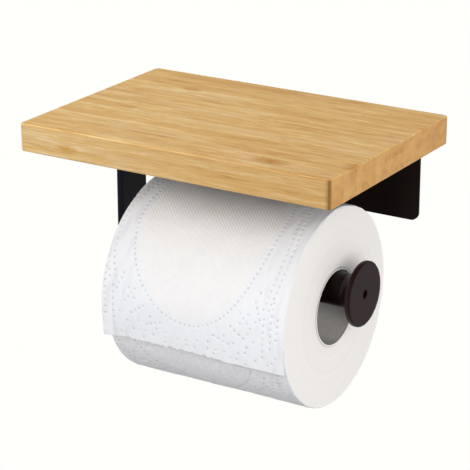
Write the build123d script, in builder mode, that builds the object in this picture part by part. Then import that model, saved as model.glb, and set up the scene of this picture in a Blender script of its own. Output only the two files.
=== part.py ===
from build123d import *
import os
from math import sqrt

# Toilet paper holder with a wooden shelf, millimetres.
# The origin lies on the wall, midway between the two wall screw holes.
# +X runs along the shelf towards the rod's free end, +Y into the wall, +Z up.

# Driving dimensions: shelf
shelf_width = 192.0
shelf_depth = 134.0
shelf_thickness = 16.0
shelf_back_corner = 3.0
shelf_front_corner = 1.5
shelf_edge_round = 0.9

# Driving dimensions: bracket, one bent sheet with a wall plate and a top flange
sheet_thickness = 2.0
bracket_width = 160.0
wall_plate_height = 48.0
flange_depth = 92.0
bend_radius = 2.0
bracket_corner = 4.5
sheet_edge_round = 0.3
wall_hole_spacing = 100.0
wall_hole_radius = 2.5
flange_hole_radius = 2.1

# Driving dimensions: arm, a bent flat bar
arm_width = 25.0
arm_thickness = 4.0
arm_x = -70.8
arm_foot_length = 33.0
arm_bend_radius = 3.0
arm_edge_round = 1.2
arm_screw_x = (-58.0, -46.0)

# Driving dimensions: rod, its fixing and its flared end
rod_y = -65.0
rod_z = -46.7
rod_radius = 9.5
tube_wall = 1.5
flare_start_x = 70.0
flare_radius = 7.5
rim_radius = 18.3
rim_thickness = 3.2
rim_round = 0.9
spigot_length = 14.0
centre_hole_radius = 2.5
centre_hole_depth = 5.0
centre_hole_cone = 1.5
plug_length = 16.0
washer_radius = 6.0
washer_thickness = 1.2

# Driving dimensions: the button head screw that holds the rod
rod_screw_radius = 3.0
rod_screw_length = 17.0
rod_screw_clearance = 0.2
rod_screw_chamfer = 0.6
button_radius = 5.2
button_height = 3.3
button_skirt = 0.8
socket_across_flats = 4.0
socket_depth = 2.0

# Driving dimensions: wood screws
wood_screw_radius = 1.6
wood_screw_head_radius = 3.6
wood_screw_head_height = 2.2
wood_screw_head_crown = 1.4
wood_screw_slot_length = 4.4
wood_screw_slot_width = 1.0
wood_screw_slot_depth = 1.2
flange_screw_x = 62.0
flange_screw_y = (-18.0, -84.0)
screw_depth_in_shelf = 11.0
screw_point_length = 3.0

# Driving dimensions: paper roll
core_inner_radius = 21.0
core_wall = 1.2
roll_radius = 56.7
roll_width = 114.0
roll_left_x = -51.0
roll_edge_round = 0.5
running_gap = 0.3
loose_sheet_thickness = 0.6
loose_sheet_hang = 20.2

# Derived places
shelf_bottom = wall_plate_height / 2
flange_bottom = shelf_bottom - sheet_thickness
arm_left = arm_x - arm_thickness / 2
arm_right = arm_x + arm_thickness / 2
washer_left = arm_left - washer_thickness
rod_screw_end = washer_left + rod_screw_length
rim_x = flare_start_x + flare_radius
rod_end_x = rim_x + rim_thickness
roll_axis_z = rod_z - (core_inner_radius - rod_radius - running_gap)
rod_plane = Plane(origin=(0, rod_y, rod_z), x_dir=(1, 0, 0), z_dir=(0, -1, 0))
rod_axis = Axis((0, rod_y, rod_z), (1, 0, 0))
flange_screw_places = [(x, y) for x in (-flange_screw_x, flange_screw_x) for y in flange_screw_y]
arm_screw_places = [(x, rod_y) for x in arm_screw_x]

os.makedirs("parts", exist_ok=True)


def save(piece, name):
    """Label a finished piece and write its STEP file."""
    piece.part.label = name
    export_step(piece.part, f"parts/{name}.step")


def crown_drop(radius, crown_height, distance):
    """How far a domed head, a cap of a sphere, has fallen at a distance from its axis."""
    sphere_radius = (radius**2 + crown_height**2) / (2 * crown_height)
    return sphere_radius - sqrt(sphere_radius**2 - distance**2)


def pan_head_screw(length):
    """Pan head wood screw: the head hangs below Z = 0 and the plain shank points up."""
    half_radius = wood_screw_head_radius / 2
    half_drop = crown_drop(wood_screw_head_radius, wood_screw_head_crown, half_radius)
    with BuildPart() as screw:
        with BuildSketch(Plane.XZ):
            with BuildLine():
                Polyline(
                    (0, -wood_screw_head_height),
                    (0, length),
                    (wood_screw_radius, length - screw_point_length),
                    (wood_screw_radius, 0),
                    (wood_screw_head_radius, 0),
                    (wood_screw_head_radius, wood_screw_head_crown - wood_screw_head_height),
                )
                ThreePointArc(
                    (wood_screw_head_radius, wood_screw_head_crown - wood_screw_head_height),
                    (half_radius, half_drop - wood_screw_head_height),
                    (0, -wood_screw_head_height),
                )
            make_face()
        revolve(axis=Axis.Z)
        with BuildSketch(Plane.XY.offset(-wood_screw_head_height)):
            Rectangle(wood_screw_slot_length, wood_screw_slot_width)
            Rectangle(wood_screw_slot_width, wood_screw_slot_length)
        extrude(amount=wood_screw_slot_depth, mode=Mode.SUBTRACT)
    return screw.part


# Shelf board: one solid board, rounded corners at the back, pilot holes from below
with BuildPart() as shelf_board:
    with BuildSketch(Plane.XY.offset(shelf_bottom)) as outline:
        with Locations((0, -shelf_depth / 2)):
            Rectangle(shelf_width, shelf_depth)
        fillet(outline.vertices().group_by(Axis.Y)[-1], shelf_back_corner)
        fillet(outline.vertices().group_by(Axis.Y)[0], shelf_front_corner)
    extrude(amount=shelf_thickness)
    flat_faces = shelf_board.faces().filter_by(Axis.Z)
    fillet(flat_faces.edges(), shelf_edge_round)
    with BuildSketch(Plane.XY.offset(shelf_bottom)):
        with Locations(*flange_screw_places, *arm_screw_places):
            Circle(wood_screw_radius)
    extrude(amount=screw_depth_in_shelf, mode=Mode.SUBTRACT)
save(shelf_board, "shelf_board")

# Wall bracket: an L of bent sheet, with the wall plate hanging down from the top flange
with BuildPart() as wall_bracket:
    with BuildSketch(Plane.YZ):
        with BuildLine():
            Polyline(
                (0, -wall_plate_height / 2),
                (0, shelf_bottom),
                (-flange_depth, shelf_bottom),
                (-flange_depth, flange_bottom),
                (-sheet_thickness, flange_bottom),
                (-sheet_thickness, -wall_plate_height / 2),
                close=True,
            )
        make_face()
    extrude(amount=bracket_width / 2, both=True)
    long_edges = wall_bracket.edges().filter_by(Axis.X)
    outer_bend = long_edges.sort_by_distance((0, 0, shelf_bottom))[0]
    inner_bend = long_edges.sort_by_distance((0, -sheet_thickness, flange_bottom))[0]
    fillet(inner_bend, bend_radius)
    fillet(outer_bend, bend_radius + sheet_thickness)
    fillet(wall_bracket.edges().filter_by(Axis.Y).group_by(Axis.Z)[0], bracket_corner)
    fillet(wall_bracket.edges().filter_by(Axis.Z).group_by(Axis.Y)[0], bracket_corner)
    with BuildSketch(Plane.XZ):
        with Locations((-wall_hole_spacing / 2, 0), (wall_hole_spacing / 2, 0)):
            Circle(wall_hole_radius)
    extrude(amount=sheet_thickness * 2, both=True, mode=Mode.SUBTRACT)
    with BuildSketch(Plane.XY.offset(flange_bottom)):
        with Locations(*flange_screw_places, *arm_screw_places):
            Circle(flange_hole_radius)
    extrude(amount=sheet_thickness, mode=Mode.SUBTRACT)
    front_rim = wall_bracket.faces().filter_by(Plane.XZ).sort_by(Axis.Y)[0]
    lower_rim = wall_bracket.faces().filter_by(Plane.XY).sort_by(Axis.Z)[0]
    rim_edges = front_rim.edges().filter_by(Axis.X) + lower_rim.edges().filter_by(Axis.X)
    fillet(rim_edges, sheet_edge_round)
save(wall_bracket, "wall_bracket")

# Side arm: a flat bar with a foot under the flange and a round lower end that holds the rod
with BuildPart() as side_arm:
    with BuildSketch(Plane.XZ.offset(-rod_y)):
        with BuildLine():
            Polyline(
                (arm_left, rod_z),
                (arm_left, flange_bottom),
                (arm_left + arm_foot_length, flange_bottom),
                (arm_left + arm_foot_length, flange_bottom - arm_thickness),
                (arm_right, flange_bottom - arm_thickness),
                (arm_right, rod_z),
                close=True,
            )
        make_face()
    extrude(amount=arm_width / 2, both=True)
    bend_edges = side_arm.edges().filter_by(Axis.Y)
    outer_bend = bend_edges.sort_by_distance((arm_left, rod_y, flange_bottom))[0]
    inner_bend = bend_edges.sort_by_distance((arm_right, rod_y, flange_bottom - arm_thickness))[0]
    fillet(inner_bend, arm_bend_radius)
    fillet(outer_bend, arm_bend_radius + arm_thickness)
    with BuildSketch(Plane.YZ.offset(arm_left)):
        with Locations((rod_y, rod_z)):
            Circle(arm_width / 2)
    extrude(amount=arm_thickness)
    foot_end = side_arm.faces().sort_by(Axis.X)[-1]
    fillet(foot_end.edges().filter_by(Axis.Z), bracket_corner)
    side_faces = side_arm.faces().sort_by(Axis.Y)
    fillet(side_faces[0].edges() + side_faces[-1].edges(), arm_edge_round)
    with BuildSketch(Plane.YZ.offset(arm_left)):
        with Locations((rod_y, rod_z)):
            Circle(rod_screw_radius + rod_screw_clearance)
    extrude(amount=arm_thickness, mode=Mode.SUBTRACT)
    with BuildSketch(Plane.XY.offset(flange_bottom - arm_thickness)):
        with Locations(*arm_screw_places):
            Circle(flange_hole_radius)
    extrude(amount=arm_thickness, mode=Mode.SUBTRACT)
save(side_arm, "side_arm")

# Four short screws through the flange into the shelf
flange_screw = pan_head_screw(sheet_thickness + screw_depth_in_shelf)
with BuildPart() as shelf_screws:
    for x, y in flange_screw_places:
        with Locations((x, y, flange_bottom)):
            add(flange_screw)
save(shelf_screws, "shelf_screws")

# Two longer screws through the arm's foot and the flange into the shelf
foot_screw = pan_head_screw(arm_thickness + sheet_thickness + screw_depth_in_shelf)
with BuildPart() as arm_screws:
    for x, y in arm_screw_places:
        with Locations((x, y, flange_bottom - arm_thickness)):
            add(foot_screw)
save(arm_screws, "arm_screws")

# Rod tube: plain tube that the roll hangs on
with BuildPart() as rod_tube:
    with BuildSketch(Plane.YZ.offset(arm_right)):
        with Locations((rod_y, rod_z)):
            Circle(rod_radius)
            Circle(rod_radius - tube_wall, mode=Mode.SUBTRACT)
    extrude(amount=flare_start_x - arm_right)
save(rod_tube, "rod_tube")

# Rod base plug: threaded plug set in the tube's fixed end
with BuildPart() as rod_base_plug:
    with BuildSketch(Plane.YZ.offset(arm_right)):
        with Locations((rod_y, rod_z)):
            Circle(rod_radius - tube_wall)
            Circle(rod_screw_radius, mode=Mode.SUBTRACT)
    extrude(amount=plug_length)
save(rod_base_plug, "rod_base_plug")

# Rod washer: plain washer between the arm and the screw head
with BuildPart() as rod_washer:
    with BuildSketch(Plane.YZ.offset(washer_left)):
        with Locations((rod_y, rod_z)):
            Circle(washer_radius)
            Circle(rod_screw_radius + rod_screw_clearance, mode=Mode.SUBTRACT)
    extrude(amount=washer_thickness)
save(rod_washer, "rod_washer")

# Rod screw: button head screw with a hexagon socket, driven from outside the arm
button_half_drop = crown_drop(button_radius, button_height - button_skirt, button_radius / 2)
with BuildPart() as rod_screw:
    with BuildSketch(rod_plane):
        with BuildLine():
            Polyline(
                (washer_left - button_height, 0),
                (rod_screw_end, 0),
                (rod_screw_end, rod_screw_radius - rod_screw_chamfer),
                (rod_screw_end - rod_screw_chamfer, rod_screw_radius),
                (washer_left, rod_screw_radius),
                (washer_left, button_radius),
                (washer_left - button_skirt, button_radius),
            )
            ThreePointArc(
                (washer_left - button_skirt, button_radius),
                (washer_left - button_height + button_half_drop, button_radius / 2),
                (washer_left - button_height, 0),
            )
        make_face()
    revolve(axis=rod_axis)
    with BuildSketch(Plane.YZ.offset(washer_left - button_height)):
        with Locations((rod_y, rod_z)):
            RegularPolygon(socket_across_flats / 2, 6, major_radius=False)
    extrude(amount=socket_depth, mode=Mode.SUBTRACT)
save(rod_screw, "rod_screw")

# Rod end cap: turned from bar, a spigot in the tube and a flare that opens into the rim
with BuildPart() as rod_end_cap:
    with BuildSketch(rod_plane):
        with BuildLine():
            Polyline(
                (flare_start_x, rod_radius),
                (flare_start_x, rod_radius - tube_wall),
                (flare_start_x - spigot_length, rod_radius - tube_wall),
                (flare_start_x - spigot_length, 0),
                (rod_end_x - centre_hole_depth, 0),
                (rod_end_x - centre_hole_depth + centre_hole_cone, centre_hole_radius),
                (rod_end_x, centre_hole_radius),
                (rod_end_x, rim_radius - rim_round),
            )
            RadiusArc((rod_end_x, rim_radius - rim_round), (rod_end_x - rim_round, rim_radius), -rim_round)
            Line((rod_end_x - rim_round, rim_radius), (rim_x + rim_round, rim_radius))
            RadiusArc((rim_x + rim_round, rim_radius), (rim_x, rim_radius - rim_round), -rim_round)
            Line((rim_x, rim_radius - rim_round), (rim_x, rod_radius + flare_radius))
            RadiusArc((rim_x, rod_radius + flare_radius), (flare_start_x, rod_radius), flare_radius)
        make_face()
    revolve(axis=rod_axis)
save(rod_end_cap, "rod_end_cap")

# Cardboard core: the tube inside the roll, hanging on top of the rod
with BuildPart() as cardboard_core:
    with BuildSketch(Plane.YZ.offset(roll_left_x)):
        with Locations((rod_y, roll_axis_z)):
            Circle(core_inner_radius + core_wall)
            Circle(core_inner_radius, mode=Mode.SUBTRACT)
    extrude(amount=roll_width)
save(cardboard_core, "cardboard_core")

# Paper roll: the wound paper, closed solid from the core to the outer turn
with BuildPart() as paper_roll:
    with BuildSketch(Plane.YZ.offset(roll_left_x)):
        with Locations((rod_y, roll_axis_z)):
            Circle(roll_radius)
            Circle(core_inner_radius + core_wall, mode=Mode.SUBTRACT)
    extrude(amount=roll_width)
    outer_face = paper_roll.faces().filter_by(GeomType.CYLINDER).sort_by(SortBy.AREA)[-1]
    fillet(outer_face.edges().filter_by(GeomType.CIRCLE), roll_edge_round)
save(paper_roll, "paper_roll")

# Loose sheet: the last turn, over the top and the front of the roll, then hanging free
sheet_outer_radius = roll_radius + loose_sheet_thickness
with BuildPart() as loose_sheet:
    with BuildSketch(Plane.YZ.offset(roll_left_x)):
        with BuildLine():
            CenterArc((rod_y, roll_axis_z), sheet_outer_radius, 90, 90)
            Polyline(
                (rod_y - sheet_outer_radius, roll_axis_z),
                (rod_y - sheet_outer_radius, roll_axis_z - loose_sheet_hang),
                (rod_y - roll_radius, roll_axis_z - loose_sheet_hang),
                (rod_y - roll_radius, roll_axis_z),
            )
            CenterArc((rod_y, roll_axis_z), roll_radius, 180, -90)
            Line((rod_y, roll_axis_z + roll_radius), (rod_y, roll_axis_z + sheet_outer_radius))
        make_face()
    extrude(amount=roll_width)
save(loose_sheet, "loose_sheet")
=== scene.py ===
import math

import bpy
import numpy as np
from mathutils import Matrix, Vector


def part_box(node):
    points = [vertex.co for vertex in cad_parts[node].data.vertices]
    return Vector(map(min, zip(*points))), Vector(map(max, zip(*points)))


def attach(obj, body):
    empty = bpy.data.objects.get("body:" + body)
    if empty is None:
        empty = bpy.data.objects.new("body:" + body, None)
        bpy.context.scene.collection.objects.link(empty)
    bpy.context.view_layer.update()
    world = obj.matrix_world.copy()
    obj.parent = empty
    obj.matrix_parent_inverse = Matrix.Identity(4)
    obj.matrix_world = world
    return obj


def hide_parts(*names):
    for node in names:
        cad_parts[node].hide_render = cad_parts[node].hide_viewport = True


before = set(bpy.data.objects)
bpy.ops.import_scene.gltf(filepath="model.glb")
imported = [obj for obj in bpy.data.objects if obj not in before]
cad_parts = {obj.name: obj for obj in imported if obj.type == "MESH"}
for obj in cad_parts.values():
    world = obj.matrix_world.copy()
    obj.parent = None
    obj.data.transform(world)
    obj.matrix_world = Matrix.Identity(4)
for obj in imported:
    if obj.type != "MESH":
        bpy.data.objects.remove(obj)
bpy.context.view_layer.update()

MM = 0.001
ROLL_BODY = "roll"

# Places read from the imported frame, in metres
roll_low, roll_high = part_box("paper_roll")
core_low, core_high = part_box("cardboard_core")
sheet_low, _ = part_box("loose_sheet")
shelf_low, shelf_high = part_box("shelf_board")
roll_left = roll_low[0]
roll_width = roll_high[0] - roll_low[0]
axis_y = (roll_low[1] + roll_high[1]) / 2
axis_z = (core_low[2] + core_high[2]) / 2
roll_radius = (roll_high[1] - roll_low[1]) / 2
core_radius = (core_high[1] - core_low[1]) / 2
hang = axis_z - sheet_low[2]

# ---------------------------------------------------------------- colours, linear

WOOD_DARK = (0.56, 0.290, 0.078)
WOOD_MID = (0.72, 0.425, 0.132)
WOOD_MAIN = (0.78, 0.505, 0.180)
WOOD_LIGHT = (0.92, 0.690, 0.350)
WOOD_PALE = (0.80, 0.565, 0.300)
WOOD_STAIN = (0.60, 0.285, 0.040)
WOOD_KNOT = (0.46, 0.195, 0.034)
WOOD_RAW = (0.56, 0.45, 0.31)
WOOD_RAW_DARK = (0.40, 0.31, 0.20)
WOOD_SCORCH = (0.20, 0.085, 0.020)
WOOD_END = (0.71, 0.395, 0.130)
WOOD_END_DARK = (0.55, 0.270, 0.078)
WOOD_END_LIGHT = (0.78, 0.475, 0.175)
# what the wood is multiplied by at the shelf's left and right end, a painted shade that darkens it towards
# the rod's end, and on its front face, which is paler at the left end and has more painted shade at the
# rod's end
SHELF_SHADE_TINTS = ((1.0, 1.0, 1.0), (0.93, 0.90, 0.885))
FRONT_PALE_AND_SHADE_TINTS = ((1.0, 1.13, 1.45), (0.79, 0.77, 0.78))

COAT = (0.0065, 0.0035, 0.0025)
COAT_ARM = (0.0060, 0.0055, 0.0110)
COAT_TURNED = (0.0150, 0.0022, 0.0024)
ZINC_DARK = (0.42, 0.42, 0.44)
ZINC_LIGHT = (0.62, 0.62, 0.60)

PAPER = (0.815, 0.82, 0.845)
PAPER_COOL = (0.74, 0.755, 0.80)
PAPER_WEAVE = (0.860, 0.845, 0.845)
PAPER_UNDER = (0.85, 0.85, 0.865)
# the paper's darkest colour: painted shade in pits, lattice hollows, crumples and creases, partly also the
# denser paper of the dots and its uneven translucency
PIT_TONE_AND_SHADE = (0.46, 0.475, 0.54)
PAPER_EDGE = (0.945, 0.915, 0.885)
PAPER_EDGE_DARK = (0.885, 0.855, 0.825)
GREY_BOARD_DARK = (0.40, 0.378, 0.36)
GREY_BOARD_LIGHT = (0.53, 0.507, 0.488)
GREY_BOARD_SPECK = (0.10, 0.09, 0.08)

# ---------------------------------------------------------------- shader helpers

# the part of a noise's 0 to 1 where nearly all of its values lie
MIDDLE = (0.3, 0.7)


def material(name):
    """A new material with a lone Principled shader."""
    made = bpy.data.materials.new(name)
    made.use_nodes = True
    made.node_tree.nodes.clear()
    shader = made.node_tree.nodes.new("ShaderNodeBsdfPrincipled")
    output = made.node_tree.nodes.new("ShaderNodeOutputMaterial")
    made.node_tree.links.new(shader.outputs["BSDF"], output.inputs["Surface"])
    return made, shader


def plug(tree, socket, value):
    """Link a socket to another, or set its value."""
    if isinstance(value, bpy.types.NodeSocket):
        tree.links.new(value, socket)
    elif value is not None:
        socket.default_value = value


def node(tree, kind, *inputs, out=0, **settings):
    """A node with its settings, its first inputs plugged in order, and one of its outputs."""
    made = tree.nodes.new("ShaderNode" + kind)
    for name, value in settings.items():
        setattr(made, name, value)
    for socket, value in zip(made.inputs, inputs):
        plug(tree, socket, value)
    return made.outputs[out]


def place(tree):
    """Object coordinates, which are metres in the CAD frame."""
    return node(tree, "TexCoord", out=3)


def split(tree, vector):
    """The X, Y and Z of a vector."""
    made = tree.nodes.new("ShaderNodeSeparateXYZ")
    plug(tree, made.inputs[0], vector)
    return made.outputs


def maths(tree, operation, *values, clamp=False):
    return node(tree, "Math", *values, operation=operation, use_clamp=clamp)


def product(tree, *values):
    total = values[0]
    for value in values[1:]:
        total = maths(tree, "MULTIPLY", total, value)
    return total


def weighted(tree, *pairs):
    """The sum of values times their weights."""
    total = 0.0
    for value, weight in pairs:
        total = maths(tree, "MULTIPLY_ADD", value, weight, total)
    return total


def centred(tree, value):
    """A value of 0 to 1 moved to -0.5 to 0.5."""
    return maths(tree, "SUBTRACT", value, 0.5)


def spread(tree, value, low, high, to_low=0.0, to_high=1.0):
    """A value's stretch from low to high spread over another, and held at its ends."""
    return node(tree, "MapRange", value, low, high, to_low, to_high)


def scaled(tree, vector, sizes):
    """Coordinates in metres divided by a size in millimetres: one number, or one each for X, Y and Z."""
    sizes = sizes if isinstance(sizes, tuple) else (sizes,) * 3
    return node(tree, "VectorMath", vector, tuple(1 / (size * MM) for size in sizes), operation="MULTIPLY")


def noise(tree, vector, sizes, detail=2.0, roughness=0.5):
    """Smooth noise of 0 to 1 whose features have that size in millimetres."""
    made = tree.nodes.new("ShaderNodeTexNoise")
    plug(tree, made.inputs["Vector"], scaled(tree, vector, sizes))
    made.inputs["Scale"].default_value = 1.0
    made.inputs["Detail"].default_value = detail
    made.inputs["Roughness"].default_value = roughness
    return made.outputs[0]


def mix(tree, factor, first, second, blend="MIX"):
    """A blend of two colours, each one a socket or three numbers."""
    made = tree.nodes.new("ShaderNodeMix")
    made.data_type = "RGBA"
    made.blend_type = blend
    plug(tree, made.inputs[0], factor)
    for socket, colour in zip(made.inputs[6:8], (first, second)):
        plug(tree, socket, (*colour, 1.0) if isinstance(colour, tuple) else colour)
    return made.outputs[2]


def ramp(tree, value, *stops):
    """A colour ramp with stops of place and colour."""
    made = tree.nodes.new("ShaderNodeValToRGB")
    plug(tree, made.inputs[0], value)
    points = made.color_ramp.elements
    while len(points) < len(stops):
        points.new(0.5)
    for point, (position, colour) in zip(points, stops):
        point.position = position
        point.color = (*colour, 1.0)
    return made.outputs[0]


def bump(tree, height, distance, strength=1.0, under=None):
    """A bumped normal, as deep as a distance in millimetres, on top of another one if there is one."""
    made = tree.nodes.new("ShaderNodeBump")
    made.inputs["Strength"].default_value = strength
    made.inputs["Distance"].default_value = distance * MM
    plug(tree, made.inputs["Height"], height)
    plug(tree, made.inputs["Normal"], under)
    return made.outputs[0]


def facing(tree, component, sign, most=1.0):
    """How far the surface faces along one component of its normal, in the direction of the sign."""
    return spread(tree, component, sign * 0.6, sign * 0.95, 0.0, most)


# ---------------------------------------------------------------- bamboo

STRIP_WIDTH = 6.7 * MM
# each strip's fibres are taken from a place up to this far along X, in metres
STRIP_SHIFT = 3.0
FIBRE_WANDER = 3.2 * MM
FIBRE_SWIRL = 8 * MM
# the sawn corner: where the scorch starts and where it is full, in from the right end and the front
SCORCH_X = (4.2 * MM, 1.0 * MM)
SCORCH_Y = (1.5 * MM, 0.4 * MM)
# node marks: centre in metres, half sizes in millimetres, strength
NODE_MARKS = (
    ((0.0540, -0.1225, shelf_high[2]), (14, 6.0, 9), 1.0),
    ((-0.0655, shelf_low[1], 0.0300), (9, 3.5, 3.2), 0.8),
    ((shelf_high[0], -0.1080, shelf_high[2]), (8, 9, 3), 0.8),
    ((shelf_high[0], -0.0640, 0.0350), (6, 13, 2.4), 0.8),
    ((-0.0520, -0.0300, shelf_high[2]), (9, 3.4, 9), 0.8),
    ((0.0610, shelf_high[1], 0.0310), (8, 3.5, 3.6), 0.9),
    ((0.0200, -0.1060, shelf_low[2]), (10, 3.6, 7), 0.9),
)


def node_marks(tree, point):
    """How much of a node mark there is at each place."""
    marks = 0.0
    for centre, sizes, strength in NODE_MARKS:
        away = node(tree, "VectorMath", point, centre, operation="SUBTRACT")
        reach = node(tree, "VectorMath", scaled(tree, away, sizes), operation="LENGTH", out=1)
        marks = maths(tree, "MAXIMUM", marks, spread(tree, reach, 0.1, 1.0, strength, 0.0))
    return marks


def end_grain(tree, point, tone):
    """The cut ends: clouds, and pores drawn out upright."""
    pores = noise(tree, point, (30, 0.85, 4.5), 3.0, 0.65)
    cloud = noise(tree, point, (30, 13, 5))
    value = weighted(tree, (pores, 0.55), (cloud, 0.45), (tone, 0.10))
    return ramp(tree, value, (0.34, WOOD_END_DARK), (0.50, WOOD_END), (0.68, WOOD_END_LIGHT))


def scorched_corner(tree, x, y):
    """How brown the front corner at the rod's end is, where the saw scorched it."""
    near_end = spread(tree, x, *(shelf_high[0] - inset for inset in SCORCH_X))
    near_front = spread(tree, y, *(shelf_low[1] + inset for inset in SCORCH_Y))
    return product(tree, near_end, near_end, near_front, 0.85)


def bamboo():
    """Edge-glued bamboo: strips along X, wavy fibres, a few node marks and a denser end grain."""
    made, shader = material("bamboo")
    tree = made.node_tree
    point = place(tree)
    x, y, z = split(tree, point)
    along = maths(tree, "DIVIDE", y, STRIP_WIDTH)
    tone = node(tree, "TexWhiteNoise", None, maths(tree, "FLOOR", along), noise_dimensions="1D")
    # every strip has its own stretch of fibre, which wanders a little and swirls round the node marks
    shifted = node(tree, "CombineXYZ", maths(tree, "MULTIPLY_ADD", tone, STRIP_SHIFT, x), y, z)
    tone = centred(tree, tone)
    wander = centred(tree, noise(tree, shifted, (34, 9, 9)))
    marks = node_marks(tree, point)
    swirl = noise(tree, point, (3.4, 2.6, 1.6))
    bend = product(tree, centred(tree, swirl), marks, FIBRE_SWIRL)
    bend = maths(tree, "MULTIPLY_ADD", wander, FIBRE_WANDER, bend)
    fibre = node(tree, "VectorMath", shifted, node(tree, "CombineXYZ", None, bend, bend), operation="ADD")

    # the fibres' colour, from broad bands to fine lines, with pale and dark patches
    broad = noise(tree, fibre, (110, 12, 5))
    patch = noise(tree, fibre, (60, 17, 9))
    streak = noise(tree, fibre, (30, 2.0, 1.1), 3.0, 0.65)
    fine = noise(tree, fibre, (12, 0.8, 0.55), 2.0, 0.6)
    value = weighted(
        tree,
        (spread(tree, broad, *MIDDLE), 0.38), (spread(tree, streak, 0.32, 0.68), 0.38),
        (spread(tree, fine, *MIDDLE), 0.24), (tone, 0.12),
    )
    colour = ramp(tree, value, (0.20, WOOD_DARK), (0.40, WOOD_MID), (0.56, WOOD_MAIN), (0.80, WOOD_LIGHT))
    colour = mix(tree, spread(tree, patch, 0.52, 0.72, 0.0, 0.42), colour, WOOD_PALE)
    colour = mix(tree, spread(tree, patch, 0.46, 0.28, 0.0, 0.60), colour, WOOD_MID)
    # thin dark veins, and a line where two strips are glued
    vein = maths(tree, "ABSOLUTE", centred(tree, noise(tree, fibre, (42, 1.5, 1.1), 1.0)))
    colour = mix(tree, spread(tree, vein, 0.0, 0.035, 0.5, 0.0), colour, WOOD_DARK)
    seam = maths(tree, "ABSOLUTE", centred(tree, maths(tree, "FRACT", along)))
    seam = spread(tree, seam, 0.470, 0.492, 0.0, 0.32)
    colour = mix(tree, seam, colour, WOOD_DARK)
    # the node marks: an orange stain with brown dashes in it
    dashes = product(tree, spread(tree, streak, 0.62, 0.42), spread(tree, swirl, 0.34, 0.60, 0.35, 1.0))
    brown = maths(tree, "MULTIPLY", product(tree, marks, dashes), 1.2, clamp=True)
    colour = mix(tree, product(tree, marks, 0.95), colour, WOOD_STAIN)
    colour = mix(tree, brown, colour, WOOD_KNOT)

    side, front, up = split(tree, node(tree, "TexCoord", out=1))
    ends = mix(tree, seam, end_grain(tree, point, tone), WOOD_DARK)
    ends = mix(tree, product(tree, brown, 0.8), ends, WOOD_KNOT)
    colour = mix(tree, facing(tree, maths(tree, "ABSOLUTE", side), 1, 0.85), colour, ends)
    colour = mix(tree, scorched_corner(tree, x, y), colour, WOOD_SCORCH)
    # the shelf is a little darker towards the rod's end, a painted shade, and its front face is paler at
    # the other end and painted darker still at the rod's end
    across = spread(tree, x, shelf_low[0], shelf_high[0])
    shelf_painted_shade = mix(tree, across, *SHELF_SHADE_TINTS)
    front_pale_and_shade = mix(tree, across, *FRONT_PALE_AND_SHADE_TINTS)
    colour = mix(tree, 1.0, colour, mix(tree, facing(tree, front, -1), shelf_painted_shade, front_pale_and_shade), "MULTIPLY")
    # the underside is raw and duller
    colour = mix(tree, facing(tree, up, -1, 0.7), colour, mix(tree, streak, WOOD_RAW_DARK, WOOD_RAW))

    plug(tree, shader.inputs["Base Color"], colour)
    plug(tree, shader.inputs["Roughness"], spread(tree, streak, *MIDDLE, 0.52, 0.40))
    shader.inputs["Specular IOR Level"].default_value = 0.35
    height = weighted(tree, (streak, 0.4), (fine, 0.6))
    plug(tree, shader.inputs["Normal"], bump(tree, height, 0.10, 0.6))
    return made


# ---------------------------------------------------------------- metals

# a coat's shaded parts against its colour
COAT_SHADE = 0.75


def black_coat(name, roughness, specular, colour):
    """Powder coat: a fine orange peel, and clouds in its colour and sheen."""
    made, shader = material(name)
    tree = made.node_tree
    point = place(tree)
    peel = noise(tree, point, 0.7)
    cloud = noise(tree, point, 24, 3.0)
    dark = tuple(channel * COAT_SHADE for channel in colour)
    plug(tree, shader.inputs["Base Color"], ramp(tree, cloud, (0.35, dark), (0.7, colour)))
    plug(tree, shader.inputs["Roughness"], spread(tree, cloud, *MIDDLE, roughness - 0.04, roughness + 0.05))
    shader.inputs["Specular IOR Level"].default_value = specular
    plug(tree, shader.inputs["Normal"], bump(tree, peel, 0.03, 0.6))
    return made


def zinc():
    """Zinc-plated steel with faint drawn lines and cloudy passivation."""
    made, shader = material("zinc_steel")
    tree = made.node_tree
    point = place(tree)
    cloud = noise(tree, point, 3, 3.0)
    lines = noise(tree, point, (0.25, 0.25, 2))
    plug(tree, shader.inputs["Base Color"], ramp(tree, cloud, (0.3, ZINC_DARK), (0.7, ZINC_LIGHT)))
    shader.inputs["Metallic"].default_value = 1.0
    plug(tree, shader.inputs["Roughness"], spread(tree, cloud, *MIDDLE, 0.28, 0.42))
    plug(tree, shader.inputs["Normal"], bump(tree, lines, 0.02, 0.5))
    return made


# ---------------------------------------------------------------- paper and board

LATTICE_PITCH = 2.1 * MM


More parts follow.
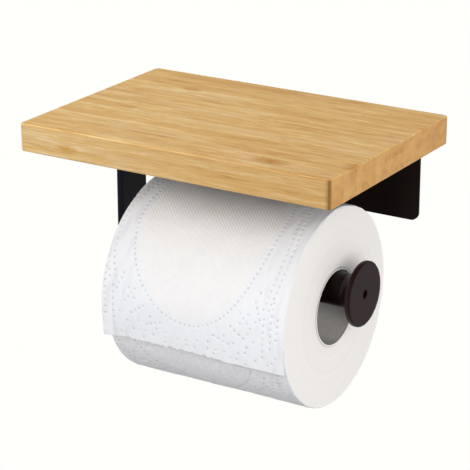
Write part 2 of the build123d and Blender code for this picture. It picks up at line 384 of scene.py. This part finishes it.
def tissue(name, colour, weave_colour, crumple, crumple_size, mottle_and_shade):
    """Soft tissue: fuzz and crumple all over, pits, and a fine lattice inside the medallion, with the pits
    darker, partly the paper's own denser spots and partly painted shade, and painted shade in the lattice's
    hollows and the crumples.
    """
    made, shader = material(name)
    tree = made.node_tree
    point = place(tree)
    u, v, _ = split(tree, node(tree, "UVMap", uv_map="flat"))
    turn = 2 * math.pi / LATTICE_PITCH
    lattice = product(
        tree, maths(tree, "SINE", product(tree, u, turn)), maths(tree, "SINE", product(tree, v, turn)))
    weave = node(tree, "Attribute", out=2, attribute_name="weave")
    pit_tone_and_shade = node(tree, "Attribute", out=2, attribute_name="pit_tone_and_shade")
    fuzz = noise(tree, point, 0.5, 3.0, 0.65)
    soft = noise(tree, point, crumple_size, 3.0, 0.6)
    cloud = noise(tree, point, 11)
    colours = mix(tree, weave, colour, weave_colour)
    # painted shade in the lattice's hollows
    hollow_shade = product(tree, spread(tree, lattice, 0.2, -0.8, 0.0, 0.022), weave)
    colours = mix(tree, hollow_shade, colours, PIT_TONE_AND_SHADE)
    colours = mix(tree, spread(tree, cloud, 0.40, 0.72, 0.0, 0.16), colours, PAPER_COOL)
    # darker where the crumple noise dips: painted shade of the crumples, and partly the paper's uneven
    # translucency
    colours = mix(tree, spread(tree, soft, 0.55, 0.35, 0.0, mottle_and_shade), colours, PIT_TONE_AND_SHADE)
    # the dots darker, partly the paper's own denser spots and partly painted shade in the pits; the
    # creases' painted shade comes the same way
    colours = mix(tree, spread(tree, pit_tone_and_shade, 0.25, 0.85, 0.0, 0.80), colours, PIT_TONE_AND_SHADE)
    plug(tree, shader.inputs["Base Color"], colours)
    plug(tree, shader.inputs["Roughness"], spread(tree, fuzz, *MIDDLE, 0.86, 0.98))
    shader.inputs["Specular IOR Level"].default_value = 0.15
    shader.inputs["Sheen Weight"].default_value = 0.10
    shader.inputs["Sheen Roughness"].default_value = 0.6
    crumpled = bump(tree, soft, crumple, 0.8)
    fuzzy = bump(tree, fuzz, 0.06, 0.6, crumpled)
    plug(tree, shader.inputs["Normal"], bump(tree, product(tree, lattice, weave), 0.10, 1.0, fuzzy))
    return made


def wound_edges():
    """The roll's end faces: hundreds of paper edges as fine rings round the axis."""
    made, shader = material("wound_edges")
    tree = made.node_tree
    point = place(tree)
    from_axis = node(tree, "VectorMath", point, (0.0, axis_y, axis_z), operation="SUBTRACT")
    in_plane = node(tree, "VectorMath", from_axis, (0.0, 1.0, 1.0), operation="MULTIPLY")
    radius = node(tree, "VectorMath", in_plane, operation="LENGTH", out=1)
    # the rings are not quite round
    radius = maths(tree, "MULTIPLY_ADD", noise(tree, point, 12), 1.0 * MM, radius)
    outwards = node(tree, "CombineXYZ", radius)
    rings = noise(tree, outwards, 0.32, 3.0, 0.7)
    bands = noise(tree, outwards, 3.5)
    fuzz = noise(tree, point, 0.6, 2.0, 0.7)
    tone = weighted(tree, (bands, 0.4), (rings, 0.6))
    plug(tree, shader.inputs["Base Color"], ramp(tree, tone, (0.34, PAPER_EDGE_DARK), (0.6, PAPER_EDGE)))
    plug(tree, shader.inputs["Roughness"], spread(tree, fuzz, *MIDDLE, 0.88, 1.0))
    shader.inputs["Specular IOR Level"].default_value = 0.12
    height = weighted(tree, (rings, 1.0), (fuzz, 0.35))
    plug(tree, shader.inputs["Normal"], bump(tree, height, 0.04, 0.4))
    return made


def grey_board():
    """Recycled grey board: short fibres, clouds and dark specks."""
    made, shader = material("grey_board")
    tree = made.node_tree
    point = place(tree)
    fibre = noise(tree, point, (2.5, 0.8, 0.8), 4.0, 0.65)
    cloud = noise(tree, point, 8, 3.0)
    speck = noise(tree, point, 0.45, 1.0)
    tone = weighted(tree, (fibre, 0.5), (cloud, 0.5))
    colour = ramp(tree, tone, (0.3, GREY_BOARD_DARK), (0.7, GREY_BOARD_LIGHT))
    colour = mix(tree, spread(tree, speck, 0.66, 0.74, 0.0, 0.4), colour, GREY_BOARD_SPECK)
    plug(tree, shader.inputs["Base Color"], colour)
    plug(tree, shader.inputs["Roughness"], spread(tree, fibre, *MIDDLE, 0.80, 0.95))
    shader.inputs["Specular IOR Level"].default_value = 0.2
    plug(tree, shader.inputs["Normal"], bump(tree, fibre, 0.06, 0.6))
    return made


# ---------------------------------------------------------------- mesh helpers


def mesh_piece(name, vertices, faces):
    """A smooth-shaded object made from arrays of vertices and of faces."""
    mesh = bpy.data.meshes.new(name)
    mesh.from_pydata([tuple(v) for v in vertices], [], [tuple(int(i) for i in f) for f in faces])
    mesh.update()
    mesh.polygons.foreach_set("use_smooth", [True] * len(mesh.polygons))
    made = bpy.data.objects.new(name, mesh)
    bpy.context.scene.collection.objects.link(made)
    return made


def grid_faces(rows, columns, start=0, wrap=False, flip=False):
    """Quads of a grid of rows by columns of vertices; wrap joins the last row to the first."""
    last = rows if wrap else rows - 1
    row, column = np.meshgrid(np.arange(last), np.arange(columns - 1), indexing="ij")
    after = (row + 1) % rows
    a = row * columns + column
    b = after * columns + column
    quads = np.stack([a, a + 1, b + 1, b], -1).reshape(-1, 4) + start
    return quads[:, ::-1] if flip else quads


def round_axis(x, angle, radius, drop=0.0):
    """Points round the roll's axis; x is in from its left end, and the angle grows from the front up."""
    y = axis_y - radius * MM * np.cos(angle)
    z = axis_z + radius * MM * np.sin(angle) + drop * MM
    return np.stack([roll_left + x * MM, y, z], -1)


def smooth_step(value, low, high):
    """0 below low, 1 above high, and a smooth rise between them."""
    t = np.clip((value - low) / (high - low), 0.0, 1.0)
    return t * t * (3 - 2 * t)


def waves(first, second, seed, size, count=12):
    """Smooth noise of two arrays, about -1 to 1: a sum of seeded sine waves of that size."""
    rng = np.random.default_rng(seed)
    total = np.zeros(np.broadcast(first, second).shape)
    for _ in range(count):
        heading, phase = rng.uniform(0, 2 * math.pi, 2)
        turn = 2 * math.pi / (size * rng.uniform(0.7, 1.5))
        total += np.sin((first * math.cos(heading) + second * math.sin(heading)) * turn + phase)
    return total / math.sqrt(count)


def paint(made, name, values):
    """A number for each vertex, which a material reads by name."""
    layer = made.data.attributes.new(name, "FLOAT", "POINT")
    layer.data.foreach_set("value", np.asarray(values, dtype=np.float32).ravel())


def lay_flat(made, u, v):
    """Each vertex's place on the flat paper, in metres, as the UV map that the lattice follows."""
    layer = made.data.uv_layers.new(name="flat")
    corners = np.empty(len(made.data.loops), dtype=np.int32)
    made.data.loops.foreach_get("vertex_index", corners)
    places = np.stack([u.ravel()[corners], v.ravel()[corners]], 1) * MM
    layer.data.foreach_set("uv", places.astype(np.float32).ravel())


# ---------------------------------------------------------------- embossing

# Places on the flat sheet in millimetres: u across from the left edge, v up from the torn edge.
DOT_PITCH = 3.05
# a dot's section falls off this fast, and ends this many radii out
DOT_FALL = 1.6
DOT_END = 2.2
# the pattern comes again this far along the paper; one copy of it starts a little below the torn edge
REPEAT = 152.0
REPEAT_START = -30.0
MEDALLION_U = 53.5
MEDALLION_V = 78.5
MEDALLION_HALF_WIDTH = 42.7
MEDALLION_HALF_HEIGHT = 62.0
# the lattice fades out between these parts of the way to the medallion's outline
LATTICE_FADE = (0.88, 1.0)
# rays: first dot of each, out and down from the medallion's middle, and the dots in one
RAY_STARTS = ((17.1, 64.1), (27.9, 56.5), (33.8, 48.1), (41.9, 40.6))
RAY_SLOPE_DEG = 17.0
RAY_DOTS = 4
# sprinkled dots: arcs round the medallion, the first one's distance from it, the gap between two arcs,
# the way from dot to dot, the angle from the foot where an arc ends, and how far a dot strays
SPRINKLE_ARCS = 11
SPRINKLE_FIRST = 9.0
SPRINKLE_GAP = 3.7
SPRINKLE_PITCH = 6.6
SPRINKLE_END_DEG = 76
SPRINKLE_SCATTER = 0.9
# where they lie: this far from other dots, on the sheet, and not beside the columns above their foot
SPRINKLE_CLEARANCE = 3.0
SPRINKLE_LOW_V = 1.6
SPRINKLE_U = (3.0, 111.0)
COLUMN_FOOT_V = 36.0
COLUMN_OUT_U = 44.0
# double columns beside the medallion: arcs with these half widths, between these angles from their foot
COLUMN_HALF_WIDTHS = (51.6, 55.0)
COLUMN_HALF_HEIGHT = 75.0
COLUMN_DROP = 13.0
COLUMN_ENDS_DEG = (66, 142)
# short dotted lines in the margins: distance out from the middle, and lowest and highest place
MARGIN_LINES = ((47.0, 8.0, 31.0), (51.5, 14.0, 41.0), (55.2, 20.0, 34.0))
MARGIN_LEAN = 0.035


def ellipse_dots(half_width, half_height, centre_v, pitch, low=-180.0, high=180.0):
    """Dots evenly spaced along an ellipse between two angles, in degrees, counted from its foot."""
    angle = np.radians(np.linspace(low, high, 2000))
    u = MEDALLION_U + half_width * np.sin(angle)
    v = centre_v - half_height * np.cos(angle)
    run = np.concatenate([[0], np.cumsum(np.hypot(np.diff(u), np.diff(v)))])
    wanted = np.arange(0, run[-1], pitch)
    return np.stack([np.interp(wanted, run, u), np.interp(wanted, run, v)], 1)


def ray_dots():
    """Short dotted rays that leave the medallion's foot, four a side, each steeper than the last."""
    dots = []
    for number, (out, down) in enumerate(RAY_STARTS):
        slope = math.radians(RAY_SLOPE_DEG * (number + 1))
        for step in range(RAY_DOTS):
            far = step * DOT_PITCH * 1.05
            u = out + far * math.cos(slope)
            v = MEDALLION_V - down - far * math.sin(slope)
            dots += [(MEDALLION_U - u, v), (MEDALLION_U + u, v)]
    return np.array(dots)


def sprinkled_dots():
    """Scattered dots in staggered arcs under the medallion, out to the sheet's corners."""
    rows = []
    for number in range(SPRINKLE_ARCS):
        clear = SPRINKLE_FIRST + SPRINKLE_GAP * number
        dots = ellipse_dots(
            MEDALLION_HALF_WIDTH + clear * 0.9, MEDALLION_HALF_HEIGHT + clear,
            MEDALLION_V, SPRINKLE_PITCH, -SPRINKLE_END_DEG, SPRINKLE_END_DEG,
        )
        rows.append(dots + (number % 2) * np.array([SPRINKLE_PITCH / 2, 0.0]))
    dots = np.concatenate(rows)
    dots += np.random.default_rng(7).uniform(-SPRINKLE_SCATTER, SPRINKLE_SCATTER, dots.shape)
    u, v = dots.T
    on_sheet = (v > SPRINKLE_LOW_V) & (u > SPRINKLE_U[0]) & (u < SPRINKLE_U[1])
    beside_columns = (v > COLUMN_FOOT_V) & (np.abs(u - MEDALLION_U) > COLUMN_OUT_U)
    return dots[on_sheet & ~beside_columns]


def column_dots():
    """Double dotted lines near the two edges of the sheet, and short ones lower down."""
    rows = []
    for half_width in COLUMN_HALF_WIDTHS:
        arc = ellipse_dots(
            half_width, COLUMN_HALF_HEIGHT, MEDALLION_V - COLUMN_DROP, DOT_PITCH * 1.15, *COLUMN_ENDS_DEG)
        rows.append(arc)
        rows.append(arc * (-1, 1) + (2 * MEDALLION_U, 0))
    for out, low, high in MARGIN_LINES:
        v = np.arange(low, high, DOT_PITCH * 1.2)
        for side in (-1, 1):
            rows.append(np.stack([MEDALLION_U + side * (out + MARGIN_LEAN * v), v], 1))
    return np.concatenate(rows)


def all_dots():
    """Every dot's place, with none of the sprinkled dots on top of another one."""
    outline = ellipse_dots(MEDALLION_HALF_WIDTH, MEDALLION_HALF_HEIGHT, MEDALLION_V, DOT_PITCH)
    kept = np.concatenate([outline, ray_dots(), column_dots()])
    for dot in sprinkled_dots():
        if np.hypot(*(kept - dot).T).min() > SPRINKLE_CLEARANCE:
            kept = np.concatenate([kept, dot[None]])
    return kept


DOTS = all_dots()
# no two dots are pressed alike
DOT_SIZES = np.random.default_rng(17).uniform(0.88, 1.25, len(DOTS))
DOT_STRENGTHS = np.random.default_rng(19).uniform(0.72, 1.0, len(DOTS))


def pattern_v(v):
    """The place along one copy of the pattern for a place along the paper."""
    return (v - REPEAT_START) % REPEAT + REPEAT_START


def pressed(u, v, radius):
    """How deep dots of that radius press the paper at each place, from 0 to 1."""
    depth = np.zeros(u.shape)
    home = pattern_v(v)
    for (dot_u, dot_v), size, strength in zip(DOTS, DOT_SIZES * radius, DOT_STRENGTHS):
        for shift in (-REPEAT, 0.0, REPEAT):
            off_u, off_v = u - dot_u, home - dot_v - shift
            near = (np.abs(off_u) < DOT_END * size) & (np.abs(off_v) < DOT_END * size)
            if near.any():
                away = (off_u[near] ** 2 + off_v[near] ** 2) / size**2
                depth[near] = np.maximum(depth[near], strength * np.exp(-DOT_FALL * away))
    return depth


def woven(u, v):
    """1 inside the medallion, where the paper has the fine lattice, and 0 outside."""
    out_u = (u - MEDALLION_U) / MEDALLION_HALF_WIDTH
    out_v = (pattern_v(v) - MEDALLION_V) / MEDALLION_HALF_HEIGHT
    return 1.0 - smooth_step(np.hypot(out_u, out_v), *LATTICE_FADE)


# ---------------------------------------------------------------- loose sheet

# in millimetres, as are u and v
SHEET_THICKNESS = 0.30
SHEET_STEP = 0.44
SHEET_REACH_DEG = 100.0
SHEET_DOT_RADIUS = 0.85
SHEET_DOT_DEPTH = 0.50
INNER_DOT_DEPTH = 0.30
# the torn edge: its teeth, as deep as this between two places along it, and nearly straight elsewhere
TOOTH_SIZE = 4.2
TOOTH_DEPTH = 1.15
TOOTH_DEPTH_ELSEWHERE = 0.14
TOOTHED_START = (8.0, 14.0)
TOOTHED_END = (68.0, 80.0)
TORN_SWAY = 0.16
# how far up from the torn edge the teeth distort the sheet, and the sheet lies loose
TORN_REACH = 6.0
LOOSE_REACH = 46.0
# the gap under the sheet where it lies, and what is added to it towards the torn edge, give or take a sway
GAP = 0.30
LOOSE_LIFT = 0.45
LOOSE_SWAY = 0.30
# how far the free end curls back in under the roll
CURL = 1.5
# the left margin: where, going up, it settles; how far its edge turns up, how wide; the fold beside that
MARGIN_REACH = (14.0, 88.0)
TURN_UP = 1.7
TURN_UP_WIDTH = 5.0
FOLD_U = 5.3
FOLD_DEPTH = 0.22
PUFF = 0.5
PUFF_WIDTH = (4.0, 16.0)
# the margins' upright creases: their relief, the painted shade in them, and where from the middle that
# starts
CREASE_HEIGHT = 0.12
CREASE_SHADE = 0.11
CREASE_SHADE_START = (34.0, 46.0)
# the far end sinks into the roll
SINK = 0.70
SINK_LENGTH = 14.0
# how pressed plain paper counts as, just under where the material starts to paint shade on it
PLAIN_SHADE = 0.24


def torn_edge(u):
    """How far the torn edge lies from a straight line: the teeth that the perforation leaves."""
    toothed = smooth_step(u, *TOOTHED_START) * (1.0 - smooth_step(u, *TOOTHED_END))
    depth = TOOTH_DEPTH_ELSEWHERE + TOOTH_DEPTH * toothed
    teeth = depth * np.minimum(np.abs(waves(u, 0.0, 13, TOOTH_SIZE)), 1.0)
    return teeth + TORN_SWAY * waves(u, 0.0, 3, 11.0)


def creases(u, v):
    """Soft upright creases outside the medallion, about -1 to 1."""
    return waves(u, v * 0.22, 28, 5.0) * (1.0 - woven(u, v))


def stand_off(u, v, run, free, length):
    """How far the paper stands off the roll; run is the place along it from where it leaves the roll."""
    loose = 1.0 - smooth_step(v, 0.0, LOOSE_REACH)
    lift = GAP + loose * (LOOSE_LIFT + LOOSE_SWAY * waves(u, v, 5, 60.0))
    lift -= CURL * np.clip(-run / free, 0.0, 1.0) ** 2
    margin = 1.0 - smooth_step(v, *MARGIN_REACH)
    turned_up = TURN_UP * np.clip(1.0 - u / TURN_UP_WIDTH, 0.0, 1.0)
    lift += margin * (turned_up - FOLD_DEPTH * np.exp(-((u - FOLD_U) ** 2)))
    lift += margin * PUFF * (1.0 - smooth_step(u, *PUFF_WIDTH))
    lift += 0.08 * waves(u, v, 8, 22.0) + 0.05 * loose * waves(u, v, 18, 9.0)
    lift += CREASE_HEIGHT * creases(u, v)
    return lift - SINK * smooth_step(v, length - SINK_LENGTH, length)


def close_sheet(outer, inner):
    """Vertices and faces of a closed sheet, whose inner face has every second row and column."""
    rows, columns = outer.shape[:2]
    half_rows, half_columns = inner.shape[:2]
    count = rows * columns
    faces = [tuple(quad) for quad in grid_faces(rows, columns)]
    faces += [tuple(quad) for quad in grid_faces(half_rows, half_columns, start=count, flip=True)]
    top = np.arange(count).reshape(rows, columns)
    under = count + np.arange(half_rows * half_columns).reshape(half_rows, half_columns)
    rims = (
        (top[0], under[0], True), (top[-1], under[-1], False),
        (top[:, 0], under[:, 0], False), (top[:, -1], under[:, -1], True),
    )
    for fine, coarse, flip in rims:
        for i in range(len(coarse) - 1):
            rim = (*fine[2 * i : 2 * i + 3], coarse[i + 1], coarse[i])
            faces.append(rim[::-1] if flip else rim)
    return np.concatenate([outer.reshape(-1, 3), inner.reshape(-1, 3)]), faces


def loose_sheet():
    """The last turn: hangs free at the front, lies on the roll's front and top, and dips in behind."""
    radius = roll_radius / MM
    width = roll_width / MM
    free = hang / MM
    length = free + math.radians(SHEET_REACH_DEG) * radius
    # an even number of steps, so that the hidden face can have half as many
    across = np.linspace(0.0, width, 2 * round(width / SHEET_STEP / 2) + 1)
    along = np.linspace(0.0, length, 2 * round(length / SHEET_STEP / 2) + 1)
    v, u = np.meshgrid(along, across, indexing="ij")
    run = v - free + torn_edge(u) * (1.0 - smooth_step(v, 0.0, TORN_REACH))
    angle = np.maximum(run, 0.0) / radius
    drop = np.minimum(run, 0.0)
    lift = stand_off(u, v, run, free, length)
    dots = pressed(u, v, SHEET_DOT_RADIUS)
    halves = (slice(None, None, 2), slice(None, None, 2))

    outside = radius + SHEET_THICKNESS + lift - SHEET_DOT_DEPTH * dots
    inside = radius + lift - INNER_DOT_DEPTH * dots
    outer = round_axis(u, angle, outside, drop)
    inner = round_axis(u, angle, inside, drop)[halves]
    made = mesh_piece("loose_sheet_paper", *close_sheet(outer, inner))

    def both(values):
        """Values for the vertices of both faces."""
        return np.concatenate([values.ravel(), values[halves].ravel()])

    lay_flat(made, both(u), both(v))
    paint(made, "weave", both(woven(u, v)))
    # painted shade along the creases in the margins, carried with the dots
    margins = smooth_step(np.abs(u - width / 2), *CREASE_SHADE_START)
    shade = PLAIN_SHADE + CREASE_SHADE * margins * np.clip(-creases(u, v), 0.0, 1.0)
    paint(made, "pit_tone_and_shade", both(np.maximum(dots, shade)))
    made.data.materials.append(tissue("tissue", PAPER, PAPER_WEAVE, 0.10, 3.5, 0.03))
    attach(made, ROLL_BODY)
    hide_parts("loose_sheet")


# ---------------------------------------------------------------- wound roll

# in millimetres
ROLL_SIDES = 420
ROLL_STEP = 0.85
ROLL_RIM = 0.9
ROLL_RIM_DEG = (18.0, 42.0, 66.0)
ROLL_RINGS = 30
ROLL_DOT_RADIUS = 1.1
ROLL_DOT_DEPTH = 0.30
# what is added to the dots' depth where the roll is bare
BARE_DOT_DEPTH = 0.35
# the mean of the embossed face lies this far inside the CAD radius
ROLL_INSET = 0.15
# how much of the loose sheet's lattice the wound paper shows
ROLL_WEAVE = 0.25
END_BULGE = 0.10
# round the roll: where it comes out from under the loose sheet, and where it goes back under
BARE_START_DEG = (104.0, 114.0)
BARE_END_DEG = (350.0, 357.0)


def roll_profile(inner, radius, width):
    """The section of one side: radius and place along the width, up one end, along, and down the other."""
    rng = np.random.default_rng(11)
    rings = np.concatenate([[inner], np.linspace(inner + 0.8, radius - ROLL_RIM, ROLL_RINGS)])
    uneven = np.concatenate([[0.05], rng.uniform(0.0, 0.07, ROLL_RINGS - 1), [0.0]])
    bulge = -END_BULGE * np.sin(math.pi * (rings - inner) / (radius - inner))
    rim = np.radians(ROLL_RIM_DEG)
    end_r = np.concatenate([rings, radius - ROLL_RIM + ROLL_RIM * np.sin(rim)])
    end_x = np.concatenate([uneven + bulge + END_BULGE, ROLL_RIM - ROLL_RIM * np.cos(rim)])
    face_x = np.linspace(ROLL_RIM, width - ROLL_RIM, round(width / ROLL_STEP) + 1)
    all_r = np.concatenate([end_r, np.full(len(face_x), radius), end_r[::-1]])
    all_x = np.concatenate([end_x, face_x, width - end_x[::-1]])
    return all_r, all_x, len(end_r)


def wound_roll():
    """The wound paper: an embossed outer face, soft rims and end faces of slightly uneven rings."""
    radius = roll_radius / MM
    profile_r, profile_x, end_count = roll_profile(core_radius / MM, radius, roll_width / MM)
    angles = np.linspace(0, 2 * math.pi, ROLL_SIDES, endpoint=False)
    angle, r = np.meshgrid(angles, profile_r, indexing="ij")
    x = np.broadcast_to(profile_x, r.shape)
    # 1 on the outer face and 0 on the end faces
    outer = smooth_step(r, radius - ROLL_RIM, radius)
    # the angle grows from the front over the top, as the sheet does
    v = angle * radius + hang / MM
    dots = pressed(x, v, ROLL_DOT_RADIUS)
    out = r + outer * (0.10 * waves(x, v, 21, 30.0) + 0.05 * waves(x, v, 22, 9.0) - ROLL_INSET)
    # where no loose sheet lies on it, the paper is more rumpled and its dots are deeper
    bare = smooth_step(angle, *np.radians(BARE_START_DEG))
    bare *= 1.0 - smooth_step(angle, *np.radians(BARE_END_DEG))
    out += outer * bare * 0.04 * waves(x, v, 24, 6.0)
    out -= outer * (ROLL_DOT_DEPTH + BARE_DOT_DEPTH * bare) * dots
    rows, columns = r.shape
    faces = [grid_faces(rows, columns, wrap=True)]
    # the bore's wall closes the ring behind the core
    first = np.arange(rows) * columns
    last = first + columns - 1
    faces.append(np.stack([first, np.roll(first, -1), np.roll(last, -1), last], 1))
    made = mesh_piece("wound_roll", round_axis(x, angle, out).reshape(-1, 3), np.concatenate(faces))
    lay_flat(made, x, v)
    paint(made, "weave", woven(x, v) * outer * ROLL_WEAVE)
    # the dots painted darker, partly the paper's own denser spots and partly painted shade in the pits,
    # more so where the roll is bare
    paint(made, "pit_tone_and_shade", dots * outer * (0.55 + 0.45 * bare))
    made.data.materials.append(tissue("tissue_under", PAPER_UNDER, PAPER_UNDER, 0.55, 1.7, 0.26))
    made.data.materials.append(wound_edges())
    # the end faces and the bore have the second material
    ends = end_count - 2
    slots = np.ones(len(made.data.polygons), dtype=np.int32)
    column = np.tile(np.arange(columns - 1), rows)
    slots[: len(column)] = (column < ends) | (column >= columns - 1 - ends)
    made.data.polygons.foreach_set("material_index", slots)
    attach(made, ROLL_BODY)
    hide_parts("paper_roll")


# ---------------------------------------------------------------- core

# in millimetres
CORE_SIDES = 160
CORE_COLUMNS = 150
CORE_WALL = 1.1
CORE_CLEARANCE = 0.02
CORE_INSET = 0.15
WINDING_PITCH = 62.0
SEAM_WIDTH = 1.1
SEAM_HEIGHT = 0.16


def core():
    """The spiral-wound core: a thin tube with a raised helical seam inside."""
    outer = core_radius / MM
    width = roll_width / MM
    angle, x = np.meshgrid(
        np.linspace(0, 2 * math.pi, CORE_SIDES, endpoint=False),
        np.linspace(CORE_INSET, width - CORE_INSET, CORE_COLUMNS),
        indexing="ij",
    )
    turn = (angle / (2 * math.pi) - x / WINDING_PITCH) % 1.0
    seam = np.exp(-(((turn - 0.5) * WINDING_PITCH / SEAM_WIDTH) ** 2))
    bore = outer - CORE_WALL
    inner = bore + SEAM_HEIGHT * seam + 0.04 * waves(angle * bore, x, 31, 14.0)
    layers = [round_axis(x, angle, radius).reshape(-1, 3) for radius in (outer - CORE_CLEARANCE, inner)]
    count = CORE_SIDES * CORE_COLUMNS
    faces = [
        grid_faces(CORE_SIDES, CORE_COLUMNS, wrap=True),
        grid_faces(CORE_SIDES, CORE_COLUMNS, start=count, wrap=True, flip=True),
    ]
    walls = sum(len(quads) for quads in faces)
    ring = np.arange(CORE_SIDES) * CORE_COLUMNS
    for end, flip in ((ring, True), (ring + CORE_COLUMNS - 1, False)):
        after = np.roll(end, -1)
        rim = np.stack([end, after, after + count, end + count], 1)
        faces.append(rim[:, ::-1] if flip else rim)
    made = mesh_piece("core_tube", np.concatenate(layers), np.concatenate(faces))
    made.data.materials.append(grey_board())
    made.data.materials.append(wound_edges())
    cut_ends = np.arange(len(made.data.polygons)) >= walls
    made.data.polygons.foreach_set("material_index", cut_ends.astype(np.int32))
    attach(made, ROLL_BODY)
    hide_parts("cardboard_core")


# ---------------------------------------------------------------- CAD nodes


def finish_cad_nodes():
    """Give every carried-over CAD node its material."""
    turned = black_coat("black_turned", 0.28, 0.22, COAT_TURNED)
    steel = zinc()
    chosen = {
        "shelf_board": bamboo(),
        "wall_bracket": black_coat("black_plate", 0.50, 0.12, COAT),
        "side_arm": black_coat("black_arm", 0.42, 0.13, COAT_ARM),
        "rod_tube": black_coat("black_rod", 0.30, 0.07, COAT),
        "rod_end_cap": turned,
        "rod_washer": turned,
        "rod_screw": turned,
        "rod_base_plug": steel,
        "shelf_screws": steel,
        "arm_screws": steel,
    }
    for name, finish in chosen.items():
        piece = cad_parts[name]
        piece.data.materials.clear()
        piece.data.materials.append(finish)


# ---------------------------------------------------------------- stage, light and camera

FLOOR_DROP = 1.40
FLOOR_HALF_SIZE = 18.0
DOME_RADIUS = 12.0
DOME_SIDES = 48
DOME_RINGS = 13
STAGE_GLOW = (1.0, 1.0, 0.965, 1.0)
STUDIO_GLOW = 0.415
CAMERA_AZIMUTH = 31.45
CAMERA_ELEVATION = 19.89
CAMERA_DISTANCE = 1.1055
CAMERA_TARGET = (-0.0005, -0.0670, -0.0273)
CAMERA_LENS = 152.3
CAMERA_SENSOR = 36.0
# softboxes round the holder: azimuth from -Y towards +X, elevation, size, power, and whether they show
# in glossy surfaces; the strongest doesn't, because it would glare on the shelf seen from behind
SOFTBOXES = {
    "left_softbox": (-70, 10, 1.0, 19.0, True),
    "upper_left_softbox": (-70, 75, 1.0, 10.0, True),
    "right_softbox": (50, 18, 1.2, 31.0, False),
    "front_left_softbox": (-35, 30, 0.5, 2.5, True),
}
SOFTBOX_DISTANCE = 2.0


def towards(azimuth, elevation):
    """The direction out of the wall turned by an azimuth towards +X and raised by an elevation."""
    azimuth, elevation = math.radians(azimuth), math.radians(elevation)
    return Vector((
        math.sin(azimuth) * math.cos(elevation),
        -math.cos(azimuth) * math.cos(elevation),
        math.sin(elevation),
    ))


def camera():
    """The camera looks along +Y and to the left, and down on the shelf."""
    data = bpy.data.cameras.new("camera")
    data.lens = CAMERA_LENS
    data.sensor_width = CAMERA_SENSOR
    made = bpy.data.objects.new("camera", data)
    made.location = Vector(CAMERA_TARGET) + towards(CAMERA_AZIMUTH, CAMERA_ELEVATION) * CAMERA_DISTANCE
    made.rotation_euler = (math.radians(90 - CAMERA_ELEVATION), 0.0, math.radians(CAMERA_AZIMUTH))
    bpy.context.scene.collection.objects.link(made)
    bpy.context.scene.camera = made


def stage():
    """A wide pale floor well below the holder, and a pale dome over it; neither lights the holder."""
    finish, shader = material("stage_white")
    shader.inputs["Base Color"].default_value = (0.0, 0.0, 0.0, 1.0)
    shader.inputs["Roughness"].default_value = 1.0
    shader.inputs["Specular IOR Level"].default_value = 0.0
    shader.inputs["Emission Color"].default_value = STAGE_GLOW
    shader.inputs["Emission Strength"].default_value = 1.0
    spin, rise = np.meshgrid(
        np.linspace(0, 2 * math.pi, DOME_SIDES, endpoint=False),
        np.linspace(0, math.pi / 2, DOME_RINGS),
        indexing="ij",
    )
    dome = np.stack([np.cos(spin) * np.cos(rise), np.sin(spin) * np.cos(rise), np.sin(rise)], -1)
    ground = np.array([(-1, -1, 0), (1, -1, 0), (1, 1, 0), (-1, 1, 0)])
    level = np.array([0.0, 0.0, -FLOOR_DROP])
    for name, points, faces in (
        ("floor", ground * FLOOR_HALF_SIZE, [(0, 1, 2, 3)]),
        ("backdrop_dome", dome.reshape(-1, 3) * DOME_RADIUS, grid_faces(DOME_SIDES, DOME_RINGS, wrap=True)),
    ):
        made = mesh_piece(name, points + level, faces)
        made.data.materials.append(finish)
        made.visible_diffuse = False
        made.visible_glossy = False
        made.visible_shadow = False


def lights():
    """An even studio glow, and softboxes that face the holder."""
    world = bpy.data.worlds.new("studio")
    bpy.context.scene.world = world
    world.use_nodes = True
    background = world.node_tree.nodes["Background"]
    background.inputs["Color"].default_value = (1.0, 1.0, 1.0, 1.0)
    background.inputs["Strength"].default_value = STUDIO_GLOW
    for name, (azimuth, elevation, size, power, glossy) in SOFTBOXES.items():
        data = bpy.data.lights.new(name, "AREA")
        data.shape = "SQUARE"
        data.size = size
        data.energy = power
        made = bpy.data.objects.new(name, data)
        made.location = Vector(CAMERA_TARGET) + towards(azimuth, elevation) * SOFTBOX_DISTANCE
        made.rotation_euler = (Vector(CAMERA_TARGET) - made.location).to_track_quat("-Z", "Y").to_euler()
        made.visible_glossy = glossy
        bpy.context.scene.collection.objects.link(made)
    bpy.context.scene.view_settings.view_transform = "Standard"


camera()
stage()
lights()
finish_cad_nodes()
wound_roll()
loose_sheet()
core()
